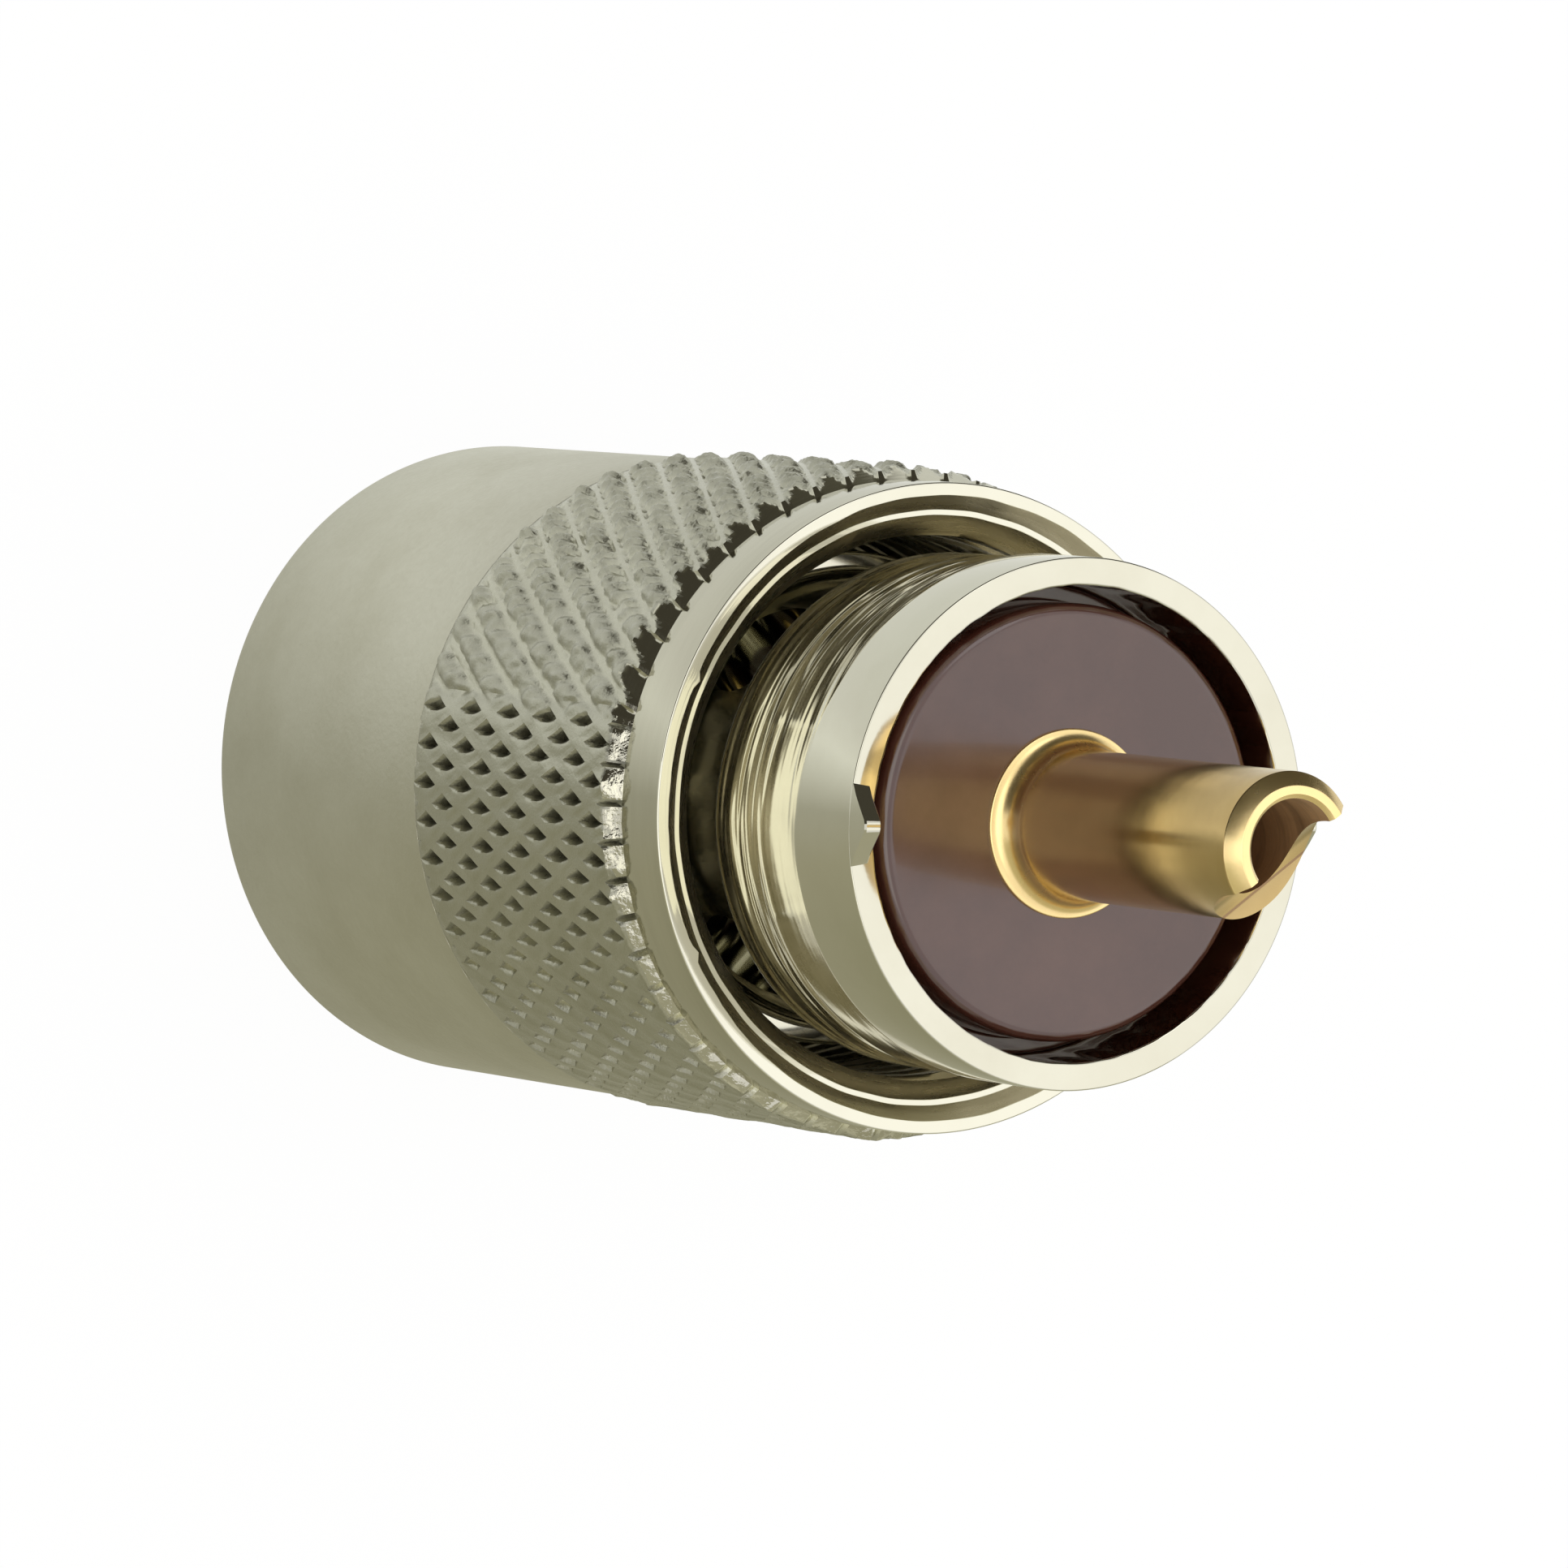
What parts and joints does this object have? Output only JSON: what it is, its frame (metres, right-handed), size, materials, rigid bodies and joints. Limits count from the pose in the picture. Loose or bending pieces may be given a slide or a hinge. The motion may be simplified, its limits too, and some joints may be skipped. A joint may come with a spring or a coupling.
{
  "type": "uhf connector",
  "caption": "Coaxial cable plug with a hollow contact pin in a toothed barrel and a diamond-knurled coupling ring that slides and turns on its body.",
  "frame": {"origin": "centre of the rear face, where the cable enters and where the coupling ring also ends at rest", "axes": "+Z runs along the axis to the tip of the contact pin, +X points at one locating tooth"},
  "size_m": [0.0186, 0.0186, 0.0419],
  "materials": {
    "body_metal": "nickel-plated brass, polished",
    "ring_metal": "nickel-plated brass, satin, with a diamond knurl",
    "insulator_resin": "reddish-brown phenolic resin, glossy",
    "pin_metal": "gold-plated brass, polished"
  },
  "bodies": {
    "plug": {"plug_body": "body_metal", "insulator": "insulator_resin", "center_pin": "pin_metal"},
    "ring": {"coupling_ring": "ring_metal"}
  },
  "joints": [
    {"name": "ring_slide", "type": "slide", "parent": "plug", "child": "ring", "axis": [0, 0, 1], "range_m": [0, 0.0128]}
  ]
}
